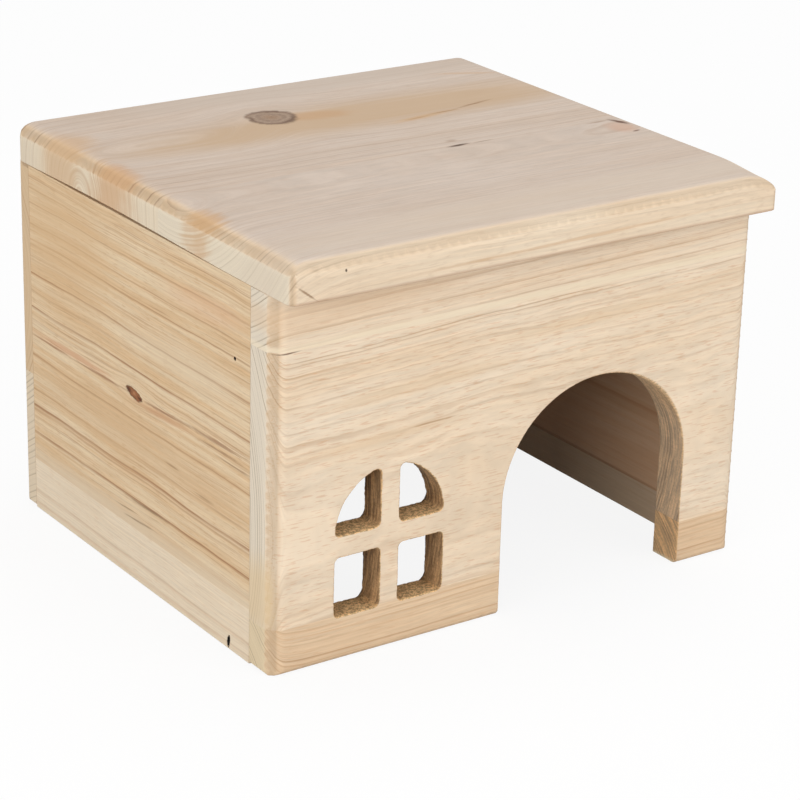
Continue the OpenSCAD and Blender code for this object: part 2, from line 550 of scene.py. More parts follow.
TURNED_PALE = (218, 186, 148)  # early wood on a round-over
CUT_LATE = (112, 78, 50)  # late wood on a milled end
LINES_PER_RAMP = 8  # a colour ramp holds 32 stops, and each line takes three
HOOK_FADE = 14.0  # reach of a hook's extra late wood
SEED_SHIFT = 400.0  # moves each stave to wood of its own

# Noise cells per mm: along the grain, across it and into the board
BEND = (1 / 42, 1 / 26, 1 / 26)
RIPPLE = (1 / 11, 1 / 7, 1 / 9)
CLOUD = (1 / 34, 1 / 13, 1 / 13)
FLECK = (0.24, 2.5, 1.4)
SPECKLE = (1.0, 1.5, 1.1)
PORES = (0.4, 5.0, 5.0)
# The same along the grain and across the rings, and a place in the noise
THREAD = (1 / 30, 0.6, 0)
STREAK = (1 / 70, 1.5, 20)
VEIN = (1 / 36, 2.7, 30)
BAND = (1 / 90, 0.33, 9)
# Along the grain, across the rings and into the board
FIBRE = (0.085, 2.3, 0.4)

RELIEF_STRENGTH = 0.35
RELIEF_M = 0.00012
ROUGHNESS = (0.62, 0.74)
SPECULAR = 0.25


# A streak or a patch of colour lies at (along, across) in the part's frame, with half sizes and a
# slant in degrees. A sunk one marks a hole, and colours its walls too, which face all ways.
MARK_PARTS = "at half slant colour amount ragged core sunk"
stroke = namedtuple("stroke", MARK_PARTS, defaults=(0.5, 0.2, False))
tint = namedtuple("tint", MARK_PARTS, defaults=(0.3, 0.3, False))
Knot = namedtuple("Knot", "at half slant heart core rim rim_amount rings push ragged fine")


class Wood:
    """One stave of solid wood: rings about a pith that runs along the grain, with its marks."""

    slope = (0.0, 0.0)  # how the pith drifts, per mm along the grain
    hook = None  # rings that turn aside near one end: place, reach, shift, extra late wood
    ring = 1.3  # yearly growth
    waver = 0.6  # how far the rings wander
    late = 0.3
    bands = 0.6
    veins = 0.22
    flecks = 0.2
    turned = 0.45  # warmth of the grain where a round-over cuts it at a slant
    pale = (232, 212, 184)
    warm = (222, 194, 158)
    dark = (178, 134, 90)
    fleck = (208, 164, 122)
    cut = (176, 138, 98)  # milled end grain
    cut_side = (208, 168, 118)  # milled along the grain
    inner = (168, 122, 92)  # painted shade on the inner faces: darker and browner, for the shade inside the house
    painted_inner_shade_amount = 0.5
    skin = None  # painted shade: darker, greyer colours for the flat faces, where they differ: pale, warm
    end_pale = (229, 216, 196)
    end_late = (166, 146, 118)
    end_contrast = 0.6
    lines = ()  # (across, strength, width)
    knots = ()
    strokes = ()
    edge_strokes = ()  # on the stave's edge instead, at (along, height on the edge)
    tints = ()
    seed = 0.0

    def __init__(self, grain, across, good_face, pith, **looks):
        self.grain, self.across = grain, across
        self.thick = 3 - grain - across
        self.good_face = good_face
        self.pith = pith
        for key, value in looks.items():
            if not hasattr(self, key):
                raise AttributeError(key)
            setattr(self, key, value)

    def radius_at(self, across):
        """Ring radius where the good face lies at a place across the grain."""
        return math.hypot(across - self.pith[0], self.good_face - self.pith[1])

    def spread_at(self, across):
        """How fast that radius changes across the grain."""
        return max(abs(across - self.pith[0]) / self.radius_at(across), 0.1)


def ring_radius(g, wood, along, across, deep, bend_v, ripple_v):
    """Distance from the pith, wavering along the grain and parting round the knots."""
    centre_t = g.math("MULTIPLY_ADD", along, wood.slope[0], wood.pith[0])
    centre_n = g.math("MULTIPLY_ADD", along, wood.slope[1], wood.pith[1])
    off_t = g.minus(across, centre_t)
    off_n = g.minus(deep, centre_n)
    radius = g.math("SQRT", g.plus(g.squared(off_t), g.squared(off_n)))
    radius = g.plus(radius, g.centred(g.noise(bend_v, 1.0), wood.waver))
    radius = g.plus(radius, g.centred(g.noise(ripple_v, 2.0), wood.waver * 0.25))
    if wood.hook:
        place, reach, shift, _ = wood.hook
        away = g.absolute(g.minus(along, place))
        radius = g.math("MULTIPLY_ADD", g.math("EXPONENT", g.times(away, -1 / reach)), shift, radius)
    for knot in wood.knots:
        half = knot.half
        near = g.ellipse(across, along, knot.at, (half[0] * 2.4, half[1] * 2.6))
        strength = g.math("EXPONENT", g.times(g.squared(near), -1.0))
        sign = 1.0 if knot.at[1] > wood.pith[0] else -1.0
        shift = g.times(g.minus(across, knot.at[1]), -knot.push * sign)
        radius = g.math("MULTIPLY_ADD", shift, strength, radius)
    return radius


def line_ramp(g, radius, spots):
    """A ramp over the ring radius with a thin peak at each of a few (radius, strength, width)."""
    low = min(r for r, _, _ in spots) - 3
    high = max(r for r, _, _ in spots) + 3
    ramp = g.add("ShaderNodeValToRGB", {0: g.math("DIVIDE", g.minus(radius, low), high - low)})
    elements = ramp.color_ramp.elements
    for element, place in zip(elements, (0.0, 1.0)):
        element.position = place
        element.color = (0, 0, 0, 1)
    for r, strength, width in spots:
        for place, level in ((r - 2.4 * width, 0.0), (r, strength), (r + 0.7 * width, 0.0)):
            element = elements.new((place - low) / (high - low))
            element.color = (level, level, level, 1)
    return ramp.outputs[0]


def marked_lines(g, wood, radius):
    """Lines that follow the rings, at chosen places on the good face."""
    spots = []
    for across, strength, width in sorted(wood.lines):
        spots.append((wood.radius_at(across), strength, width * wood.spread_at(across)))
    starts = range(0, len(spots), LINES_PER_RAMP)
    ramps = [line_ramp(g, radius, spots[k : k + LINES_PER_RAMP]) for k in starts]
    return functools.reduce(lambda marked, ramp: g.math("MAXIMUM", marked, ramp), ramps)


def paint_mark(g, mark, colour, along, across, unevens, where=1.0):
    """A streak or a soft patch, its outline roughened by each of some noises."""
    spread = g.ellipse(across, along, mark.at, mark.half, mark.slant)
    for uneven in unevens:
        spread = g.plus(spread, g.centred(uneven, mark.ragged))
    amount = g.times(g.step(spread, mark.core, 1.0, mark.amount, 0.0), where)
    return g.blend(amount, colour, srgb(*mark.colour))


def paint_knot(g, knot, colour, along, across, ragged_v, speckle):
    """A grown-in branch: its own small rings inside a dark broken rim."""
    distance = g.ellipse(across, along, knot.at, knot.half, knot.slant)
    distance = g.plus(distance, g.centred(g.noise(ragged_v, 4.0, 0.65), knot.ragged))
    waves = g.math("SINE", g.times(distance, knot.rings))
    heart = g.blend(g.step(waves, -0.4, 1.0, 0.0, 0.3), srgb(*knot.heart), srgb(*knot.rim))
    heart = g.blend(g.step(distance, 0.1, 0.55, 0.7, 0.0), heart, srgb(*knot.core))
    heart = g.tone(heart, speckle, 0.3, 0.7, 0.84, 1.14)
    colour = g.blend(g.step(distance, 0.88, 1.06, 1.0, 0.0), colour, heart)
    rim = g.times(g.step(distance, 0.7, 0.93), g.step(distance, 0.97, 1.14, 1.0, 0.0))
    broken = g.step(g.noise(ragged_v, 1.0), 0.32, 0.6, 0.35, 1.0)
    rim = g.times(g.times(rim, broken), knot.rim_amount)
    return g.blend(rim, colour, srgb(*knot.rim))


def wood_material(node, wood):
    """Solid wood for one stave. Face grain and end grain are cuts through the same rings."""
    g = Graph(bpy.data.materials.new(node + "_grain"))
    low, high = box_mm(node)
    thickness = high[wood.thick] - low[wood.thick]
    position = g.add("ShaderNodeTexCoord").outputs["Object"]
    scaled = g.add("ShaderNodeVectorMath", {0: position, 3: 1 / MM}, operation="SCALE").outputs[0]
    axes = g.add("ShaderNodeSeparateXYZ", {0: scaled}).outputs
    along, across, deep = axes[wood.grain], axes[wood.across], axes[wood.thick]
    seeded = g.plus(along, SEED_SHIFT * (1 + wood.seed))
    normal = g.add("ShaderNodeSeparateXYZ", {0: g.add("ShaderNodeNewGeometry").outputs["Normal"]})
    square = g.absolute(normal.outputs[wood.grain])
    facing = g.absolute(normal.outputs[wood.thick])
    edgewise = g.absolute(normal.outputs[wood.across])

    def cells(scales):
        return g.vector(*map(g.times, (seeded, across, deep), scales))

    cloud_v = cells(CLOUD)
    radius = ring_radius(g, wood, along, across, deep, cells(BEND), cells(RIPPLE))

    def ring_cells(scales):
        return g.vector(g.times(seeded, scales[0]), g.times(radius, scales[1]), scales[2] + wood.seed)

    # Growth: each ring darkens to its late wood and then starts pale again.
    uneven = g.noise(g.vector(g.times(radius, 0.21), 3.0 + wood.seed, 0.5), 2.0)
    growth = g.math("MULTIPLY_ADD", radius, 1 / wood.ring, g.centred(uneven, 1 / wood.ring))
    season = g.math("FRACT", growth)
    vigour = g.add("ShaderNodeTexWhiteNoise", {"W": g.math("FLOOR", growth)}, noise_dimensions="1D")
    late = g.times(g.step(season, 0.6, 0.93), g.step(season, 0.94, 1.0, 1.0, 0.0))
    late = g.times(late, g.step(vigour.outputs["Value"], 0.1, 1.0, 0.1, 1.0))
    summer = g.times(g.step(season, 0.25, 0.9), g.step(season, 0.92, 1.0, 1.0, 0.0))
    summer = g.times(summer, g.step(vigour.outputs["Value"], 0.1, 0.9, 0.25, 1.0))
    thread = g.noise(ring_cells(THREAD), 2.0)
    drawn = g.times(late, g.step(thread, 0.32, 0.62, 0.2, 1.0))
    if wood.hook:
        place, _, _, extra = wood.hook
        away = g.absolute(g.minus(along, place))
        near = g.math("EXPONENT", g.times(away, -1 / HOOK_FADE))
        drawn = g.times(drawn, g.math("MULTIPLY_ADD", near, extra, 1.0))

    # Fine streaks and veins run with the rings; fibres and flecks run with the grain.
    streak = g.noise(ring_cells(STREAK), 4.0, 0.62)
    vein = g.step(g.noise(ring_cells(VEIN), 2.0, 0.55), 0.55, 0.74)
    fibre = g.noise(g.vector(*map(g.times, (seeded, radius, deep), FIBRE)), 3.0, 0.68)
    fleck = g.step(g.noise(cells(FLECK), 2.0, 0.5), 0.55, 0.68)
    band = g.step(g.noise(ring_cells(BAND), 3.0, 0.6), 0.36, 0.66)
    cloud = g.noise(cloud_v, 2.0)
    speckle = g.noise(cells(SPECKLE), 3.0, 0.8)

    pale, warm, dark = srgb(*wood.pale), srgb(*wood.warm), srgb(*wood.dark)
    # Painted shade: the flat faces take darker, greyer colours than the rest of the board, for the
    # roof's top catching less light than its rounded front.
    if wood.skin:
        flat = g.step(facing, 0.86, 0.995)
        pale = g.blend(flat, pale, srgb(*wood.skin[0]))
        warm = g.blend(flat, warm, srgb(*wood.skin[1]))
    colour = g.blend(g.times(band, wood.bands), pale, warm)
    colour = g.blend(g.step(cloud, 0.35, 0.75, 0.0, 0.3), colour, warm)
    colour = g.blend(g.times(drawn, wood.late), colour, dark)
    colour = g.blend(g.times(vein, wood.veins), colour, dark)
    if wood.lines:
        marked = marked_lines(g, wood, radius)
        colour = g.blend(g.times(marked, g.step(thread, 0.25, 0.6, 0.45, 1.0)), colour, dark)
    colour = g.blend(g.times(fleck, wood.flecks), colour, srgb(*wood.fleck))
    colour = g.tone(colour, streak, 0.25, 0.75, 0.945, 1.04)
    colour = g.tone(colour, fibre, 0.25, 0.75, 0.925, 1.055)
    # Painted shade: within a millimetre of the inner face the colour is blended towards the darker,
    # browner inner colour, standing in for the shade inside the house.
    depth = g.absolute(g.minus(deep, wood.good_face))
    inner = g.step(depth, thickness - 1.0, thickness - 0.2, 0.0, wood.painted_inner_shade_amount)
    colour = g.blend(inner, colour, srgb(*wood.inner))

    # A round-over cuts the grain at a slant, which shows warmer, most of all at a stave's ends.
    # Round-overs are also darkened: painted shade for the extra light they catch between two faces.
    largest = g.math("MAXIMUM", g.math("MAXIMUM", square, facing), edgewise)
    slanting = g.times(g.step(largest, 0.86, 0.985, 1.0, 0.0), g.step(square, 0.0, 0.4, 0.5, 1.0))
    slanting = g.times(slanting, g.step(cloud, 0.25, 0.7, 0.35 * wood.turned, wood.turned))
    turned = g.blend(g.times(drawn, 0.55), srgb(*TURNED_PALE), dark)
    colour = g.blend(slanting, colour, turned)
    # Painted shade: where the surface faces between the axes, as on round-overs, the colour is darkened
    # down to 0.8.
    colour = g.tone(colour, largest, 0.7, 0.97, 0.8, 1.0)

    # End grain is paler when cut square.
    end = g.blend(g.times(late, wood.end_contrast), srgb(*wood.end_pale), srgb(*wood.end_late))
    end = g.tone(end, g.noise(cells(PORES), 2.0, 0.7), 0.3, 0.7, 0.93, 1.04)
    end = g.tone(end, streak, 0.25, 0.75, 0.95, 1.03)
    colour = g.blend(g.step(square, 0.8, 0.99), colour, end)
    drift = (g.noise(cloud_v, 3.0), streak)
    for mark in wood.tints:
        colour = paint_mark(g, mark, colour, along, across, drift)

    # Milled edges: brown, torn and speckled; the window's also carry painted shade.
    milled = g.add("ShaderNodeAttribute", attribute_name="milled").outputs["Fac"]
    groove_v = g.vector(g.times(radius, 0.9), g.times(across, 0.1), 40 + wood.seed)
    groove = g.noise(groove_v, 3.0, 0.7)
    torn_side = g.tone(srgb(*wood.cut_side), speckle, 0.4, 0.6, 0.55, 1.35)
    torn_end = g.blend(g.times(summer, 0.7), srgb(*wood.cut), srgb(*CUT_LATE))
    torn_end = g.tone(torn_end, groove, 0.38, 0.62, 0.6, 1.36)
    torn_end = g.tone(torn_end, speckle, 0.4, 0.6, 0.86, 1.14)
    # Painted shade: where milled is near 1, on the window's narrow panes, the torn end grain is darkened
    # to 0.82 for the shade in those deep holes.
    torn_end = g.tone(torn_end, milled, 0.8, 1.0, 1.0, 0.82)
    torn = g.blend(square, torn_side, torn_end)
    colour = g.blend(milled, colour, torn)

    for knot in wood.knots:
        ragged_v = cells([knot.fine * scale for scale in RIPPLE])
        colour = paint_knot(g, knot, colour, along, across, ragged_v, speckle)
    for mark in wood.strokes:
        on_face = 1.0 if mark.sunk else g.step(facing, 0.08, 0.25)
        colour = paint_mark(g, mark, colour, along, across, (fibre,), on_face)
    for mark in wood.edge_strokes:
        colour = paint_mark(g, mark, colour, along, deep, (fibre,), g.step(edgewise, 0.4, 0.8))

    relief = g.math("MULTIPLY_ADD", fibre, 0.5, g.times(drawn, -0.25))
    relief = g.math("MULTIPLY_ADD", g.times(speckle, milled), 4.0, relief)
    bump = g.add("ShaderNodeBump", {"Strength": RELIEF_STRENGTH, "Distance": RELIEF_M, "Height": relief})
    inputs = {"Base Color": colour, "Normal": bump.outputs[0], "Specular IOR Level": SPECULAR}
    inputs["Roughness"] = g.step(fibre, 0.2, 0.8, *ROUGHNESS)
    shader = g.add("ShaderNodeBsdfPrincipled", inputs)
    g.add("ShaderNodeOutputMaterial", {"Surface": shader.outputs[0]})
    return g.owner


FRONT_FACE, BACK_FACE = box_mm("front_middle_stave")[0][Y], box_mm("back_upper_stave")[1][Y]
LEFT_FACE, RIGHT_FACE = box_mm("left_side_upper_stave")[0][X], box_mm("right_side_upper_stave")[1][X]
ROOF_FACE = box_mm("roof_back_stave")[1][Z]

ROOF_SEAM_MARKS = (
    stroke((16.8, -7.6), (4.8, 1.1), 2, (74, 48, 30), 0.9),
    stroke((24.5, -7.6), (4.5, 0.4), 4, (120, 88, 64), 0.5),
    stroke((17.5, -3.2), (2.6, 1.3), 0, (150, 118, 90), 0.4),
    stroke((68.8, -10.6), (4.4, 1.5), -66, (96, 60, 40), 0.9),
    stroke((63, -8.2), (5, 0.8), 2, (150, 112, 84), 0.5),
)

WOODS = {
    "front_upper_stave": Wood(
        X, Z, FRONT_FACE, (150, FRONT_FACE + 40), slope=(0.028, 0), ring=1.2, waver=0.5, late=0.27,
        bands=0.45, pale=(238, 219, 194), warm=(231, 204, 172), flecks=0.3, end_contrast=0.9,
        end_late=(154, 132, 104), seed=1,
        lines=((88, 0.5, 0.2), (91.5, 0.3, 0.3), (96, 0.45, 0.3)),
        tints=(
            tint((0, 86.8), (220, 1.5), 0.6, (242, 226, 198), 0.6, ragged=0.1),
            tint((-60, 94), (60, 5), 1.5, (224, 190, 152), 0.4),
        ),
    ),
    "front_middle_stave": Wood(
        X, Z, FRONT_FACE, (38, FRONT_FACE + 100), slope=(0.025, 0), ring=1, waver=0.7, late=0.29,
        bands=0.5, veins=0.2, flecks=0.42, hook=(-75, 5, 0, 1.6), pale=(238, 219, 194),
        warm=(232, 205, 172), fleck=(212, 162, 120), cut=(186, 148, 106), cut_side=(224, 186, 136),
        end_contrast=0.9, end_late=(154, 132, 104), seed=2,
        lines=(
            (84.9, 0.8, 0.16), (83.9, 0.6, 0.14), (80, 0.3, 0.2), (76, 0.35, 0.2), (69, 0.4, 0.2),
            (66, 0.3, 0.2), (60, 0.35, 0.25),
        ),
        strokes=(
            stroke((-71, 85.2), (4.4, 0.3), 2, (104, 70, 46), 0.85),
            stroke((-28, 59), (9, 0.35), 2, (170, 126, 84), 0.6),
        ),
        tints=(
            tint((-75, 20), (2.5, 14), 0, (222, 194, 150), 0.6),
            tint((-30, 70), (40, 3), 2.5, (224, 192, 152), 0.35),
            tint((30, 78), (50, 2.5), 2, (224, 194, 156), 0.3),
            tint((-40, 58), (30, 2.2), 2, (224, 190, 150), 0.35),
        ),
    ),
    "front_lower_left_stave": Wood(
        X, Z, FRONT_FACE, (-25, FRONT_FACE + 40), slope=(0.012, 0), ring=1.1, waver=0.4, late=0.2,
        pale=(230, 203, 170), warm=(222, 189, 152), dark=(180, 128, 84), fleck=(204, 156, 112),
        end_pale=(226, 206, 172), end_contrast=0.8, hook=(-75, 5, -1.6, 1.5), cut=(200, 152, 100),
        cut_side=(222, 184, 134), seed=3,
        lines=((3.4, 0.7, 0.22), (7.5, 0.25, 0.2), (9.6, 0.35, 0.2), (11.3, 0.4, 0.2)),
    ),
    "left_side_upper_stave": Wood(
        Y, Z, LEFT_FACE, (-140, LEFT_FACE + 60), ring=1.9, waver=0.9, late=0.26, bands=0.75, veins=0.42,
        flecks=0.34, pale=(231, 208, 174), warm=(216, 180, 136), dark=(156, 102, 62),
        fleck=(196, 154, 110), seed=4,
        lines=(
            (97, 0.5, 0.15), (94, 0.45, 0.15), (90, 0.5, 0.2), (84, 0.55, 0.2),
            (79.5, 0.7, 0.2), (75, 0.4, 0.2), (70.1, 0.9, 0.25), (65, 0.4, 0.2), (60.2, 1, 0.28),
            (56.5, 0.4, 0.2), (46, 0.5, 0.25), (36, 0.5, 0.25), (31.3, 0.9, 0.4), (30, 0.5, 0.25),
            (23.5, 0.9, 0.35),
        ),
        knots=(
            Knot(at=(5, 53.3), half=(4.1, 1.3), slant=9, heart=(146, 94, 60), core=(184, 130, 90),
                 rim=(82, 48, 28), rim_amount=0.85, rings=7, push=0.85, ragged=0.6, fine=6),
        ),
        strokes=(
            stroke((8, 53.7), (1.9, 0.9), 6, (84, 48, 28), 0.85),
            stroke((2.2, 52.8), (1.7, 0.6), 14, (70, 38, 22), 0.85),
            stroke((24, 52.5), (18, 0.55), -1.5, (146, 92, 58), 0.7, ragged=0.7),
            stroke((50, 52), (16, 0.55), -1, (152, 98, 62), 0.65, ragged=0.7),
            stroke((38, 53.4), (30, 1.5), -1, (204, 144, 104), 0.55, ragged=0.6),
            stroke((-12, 53.4), (17, 0.55), -2, (140, 90, 60), 0.65, ragged=0.9),
            stroke((-10, 52), (20, 1.3), -2, (196, 142, 104), 0.5, ragged=0.8),
            stroke((-36, 54.4), (20, 0.8), -1, (146, 98, 66), 0.6, ragged=0.9),
            stroke((-40, 52.6), (14, 0.5), 0, (136, 90, 60), 0.6, ragged=0.9),
            stroke((-44, 50.8), (10, 0.5), 0, (136, 92, 62), 0.55, ragged=0.9),
            stroke((2, 17.8), (12, 0.4), -3, (128, 94, 64), 0.55, ragged=0.9),
            stroke((9, 19.4), (8, 0.35), -3, (130, 96, 66), 0.6, ragged=0.8),
            stroke((-2, 23.2), (16, 0.5), -1, (118, 86, 58), 0.6, ragged=0.9),
            stroke((-14, 40), (5, 0.5), 0, (150, 112, 78), 0.5, ragged=0.8),
            stroke((-30, 37), (6, 0.5), 0, (150, 112, 78), 0.45, ragged=0.8),
            stroke((-44.9, 79.3), (0.6, 0.55), 0, (38, 26, 18), 1, core=0.8, ragged=0, sunk=True),
        ),
        tints=(
            tint((0, 14), (200, 8), 0, (222, 203, 176), 0.6),
            tint((42, 82), (34, 24), 0, (216, 180, 136), 0.5),
            tint((0, 40), (90, 9), 0, (208, 174, 134), 0.4),
            tint((-20, 70), (40, 7), -2, (226, 206, 176), 0.45),
            tint((-30, 88), (26, 5), -2, (222, 176, 142), 0.3),
        ),
    ),
    "left_side_lower_stave": Wood(
        Y, Z, LEFT_FACE, (-200, LEFT_FACE + 60), ring=3.2, late=0.1, bands=0.35, veins=0.1,
        pale=(235, 218, 193), warm=(230, 209, 180), dark=(186, 142, 100), seed=5,
        lines=((5.6, 0.35, 0.5), (2, 0.3, 0.5)),
        strokes=(
            # Painted shade: the slit's dent is coloured near-black, for the shade deep inside it.
            stroke((-42.2, 2.1), (0.75, 1.9), 10, (16, 12, 10), 1, core=0.88, ragged=0.1, sunk=True),
        ),
    ),
    "roof_back_stave": Wood(
        X, Y, ROOF_FACE, (33, ROOF_FACE - 10), ring=2.1, waver=1.2, late=0.11, veins=0.2, bands=0.5,
        pale=(231, 212, 186), warm=(223, 197, 166), dark=(172, 136, 104), turned=0.75,
        end_pale=(230, 214, 189), end_late=(188, 158, 122), end_contrast=0.32,
        skin=((214, 197, 182), (204, 181, 160)), fleck=(184, 152, 124), hook=(-75, 7, 2.6, 2.6),
        seed=6.5,
        lines=((-4, 0.35, 0.3), (0, 0.35, 0.25), (4, 0.3, 0.3), (9, 0.25, 0.3), (54, 0.2, 0.3)),
        knots=(
            Knot(at=(-12.1, 39.7), half=(6.8, 6.7), slant=0, heart=(170, 146, 126), core=(156, 124, 96),
                 rim=(112, 86, 68), rim_amount=0.75, rings=15, push=0.7, ragged=0.45, fine=1),
        ),
        strokes=ROOF_SEAM_MARKS + (
            stroke((33, 21.4), (7, 0.7), 2, (160, 118, 80), 0.6, ragged=0.7),
            stroke((44, 23.8), (9, 0.8), 12, (146, 108, 76), 0.65, ragged=0.7),
            stroke((22, 19.6), (7, 0.6), 8, (176, 132, 92), 0.5, ragged=0.7),
            stroke((62, 52), (14, 1.6), -24, (206, 170, 134), 0.5, ragged=0.7),
        ),
        tints=(
            tint((15, 30), (110, 17), 0, (202, 173, 141), 0.85),
            tint((-2, 36), (15, 5.5), -14, (200, 160, 120), 0.6),
            tint((24, 20), (17, 2.6), 8, (206, 166, 118), 0.5),
            tint((20, 62), (120, 9), 0, (204, 189, 175), 0.6),
            tint((-75, 44), (13, 14), 0, (208, 170, 128), 0.6, ragged=0.6),
            tint((-73.5, 16), (6, 15), 0, (204, 156, 108), 0.6, ragged=0.6),
        ),
    ),
    "roof_front_stave": Wood(
        X, Y, ROOF_FACE, (-14, ROOF_FACE + 30), ring=1.15, waver=0.7, late=0.13, veins=0.2, bands=0.5,
        pale=(235, 216, 190), warm=(228, 202, 172), dark=(176, 140, 108), turned=0.7,
        end_pale=(230, 216, 193), end_late=(184, 160, 128), end_contrast=0.28,
        skin=((214, 198, 184), (207, 186, 167)), fleck=(190, 158, 130), hook=(-75, 7, -2.6, 2.6),
        seed=7,
        strokes=ROOF_SEAM_MARKS + (
            stroke((67.4, -20), (2, 0.7), 10, (110, 76, 56), 0.8),
        ),
        edge_strokes=(
            stroke((-70.6, 102.6), (4.6, 0.42), -37, (142, 104, 70), 0.75, ragged=0.4),
            stroke((-59.8, 106.6), (0.4, 0.5), 0, (70, 52, 40), 0.9, core=0.5, ragged=0.1),
            stroke((10, 103), (70, 0.7), 1, (208, 168, 126), 0.5, ragged=0.6),
        ),
        tints=(
            tint((66, -15.5), (6, 6), 0, (208, 166, 140), 0.55),
            tint((-73, -28), (6, 10), 0, (204, 160, 112), 0.6, ragged=0.6),
            tint((0, -58), (160, 14), 0, (220, 203, 183), 0.4),
        ),
    ),
    "back_upper_stave": Wood(
        X, Z, BACK_FACE, (66, BACK_FACE + 46), slope=(0.02, 0.13), ring=1.9, waver=0.7,
        pale=(226, 201, 168), warm=(216, 186, 148), end_pale=(216, 188, 152), end_late=(172, 122, 82),
        seed=8,
    ),
    "back_lower_stave": Wood(
        X, Z, BACK_FACE, (130, BACK_FACE + 60), slope=(0.02, 0), ring=1.5, late=0.26,
        pale=(229, 211, 185), warm=(221, 199, 168), end_pale=(226, 208, 182), seed=9,
    ),
    "right_side_upper_stave": Wood(
        Y, Z, RIGHT_FACE, (-120, RIGHT_FACE - 60), ring=2.2, waver=1, late=0.2,
        pale=(225, 200, 166), warm=(214, 181, 142), dark=(160, 112, 70), inner=(178, 124, 92), seed=10,
        strokes=(
            stroke((10, 10.3), (90, 0.9), 0, (126, 88, 60), 0.6, ragged=0.3),
        ),
        lines=((86, 0.5, 0.3), (64, 0.7, 0.3), (47, 0.5, 0.4), (30, 0.7, 0.5)),
        tints=(
            tint((0, 31), (200, 3.5), -2, (180, 138, 100), 0.4),
            tint((0, 60), (200, 12), -3, (204, 160, 124), 0.35),
        ),
    ),
    "right_side_lower_stave": Wood(
        Y, Z, RIGHT_FACE, (-160, RIGHT_FACE - 60), ring=3, late=0.14, bands=0.35,
        pale=(228, 208, 178), warm=(221, 197, 162), inner=(154, 122, 98), seed=11,
    ),
}
WOODS["front_lower_right_stave"] = WOODS["front_lower_left_stave"]

SLOTS = {row["node"]: row["material_slot"] for row in frame["record"]["subparts"]}

# ---- The five boards -------------------------------------

DENTS_LEFT = (
    (-42.2, 2.1, 0.55, 1.6, 10, 1.3),  # slit, its near-black colour painted shade: along y, across z, half sizes, slant, depth
    (-44.9, 79.3, 0.45, 0.45, 0, 0.5),  # small dark dot in a shallow dent
)


def panel_face(low, high, thickness, step):
    """The shape of the front or back panel's rounded face, and where its mesh points lie."""

    def shape(u, v, w):
        drop = blend_rounds(
            rounded_back(u - low[X], PANEL_ROUND),
            rounded_back(high[X] - u, PANEL_ROUND),
            rounded_back(v - low[Z], PANEL_BOTTOM_ROUND),
        )
        return u, v, drop + w * (1 - drop / thickness)

    columns = stations(low[X], high[X], step, PANEL_ROUND, PANEL_ROUND)
    rows = stations(low[Z], high[Z], step, PANEL_BOTTOM_ROUND, 0.0)
    return columns, rows, (), shape


def build_front():
    low, high = box_mm("front_upper_stave", "front_lower_left_stave", "front_lower_right_stave")
    thickness = high[Y] - low[Y]
    outline, in_door = front_outline((low[X], low[Z]), (high[X], high[Z]), PANEL_CORNER_R, EDGE_STEP)
    worn = np.exp(-((outline - DOOR_WORN_AT) ** 2).sum(axis=1) / DOOR_WORN_REACH**2)
    ease = np.where(in_door, DOOR_EASE + (DOOR_WORN_EASE - DOOR_EASE) * worn, EASE)
    edges = [Edge(outline, ease, in_door * DOOR_ROUGHNESS, in_door * DOOR_MILLED, DOOR_ROW_STEP)]
    for number, pane in enumerate(window_panes(PANE_STEP)):
        ragged = [1 + PANE_EASE_CHANGE * wobble((u, v, 0), PANE_EASE_SPAN, 11 + number) for u, v in pane]
        ease = PANE_EASE * np.array(ragged)
        edges.append(Edge(pane, ease, PANE_ROUGHNESS, 1.0, PANE_ROW_STEP, TORN_BACK))

    def place(u, v, w):
        return u, low[Y] + w, v

    return board_mesh(edges, thickness, *panel_face(low, high, thickness, FACE_STEP), place, 1)


def build_back():
    low, high = box_mm("back_upper_stave", "back_lower_stave")
    thickness = high[Y] - low[Y]
    outline = rectangle((low[X], low[Z]), (high[X], high[Z]), PANEL_CORNER_R, PLAIN_EDGE_STEP)

    def place(u, v, w):
        return u, high[Y] - w, v

    face = panel_face(low, high, thickness, PLAIN_FACE_STEP)
    return board_mesh([Edge(outline, EASE)], thickness, *face, place, 2)


def build_side(nodes, outward, dents, seed):
    low, high = box_mm(*nodes)
    thickness = high[X] - low[X]
    outline = rectangle((low[Y], low[Z]), (high[Y], high[Z]), JOINT_EASE, PLAIN_EDGE_STEP)
    edges = [Edge(outline, np.where(outline[:, 1] < low[Z] + 0.2, EASE, JOINT_EASE))]
    face = low[X] if outward < 0 else high[X]

    def place(u, v, w):
        return face - outward * w, u, v

    def flat(u, v, w):
        return u, v, w

    columns = stations(low[Y], high[Y], PLAIN_FACE_STEP)
    rows = stations(low[Z], high[Z], PLAIN_FACE_STEP)
    return board_mesh(edges, thickness, columns, rows, dents, flat, place, seed)


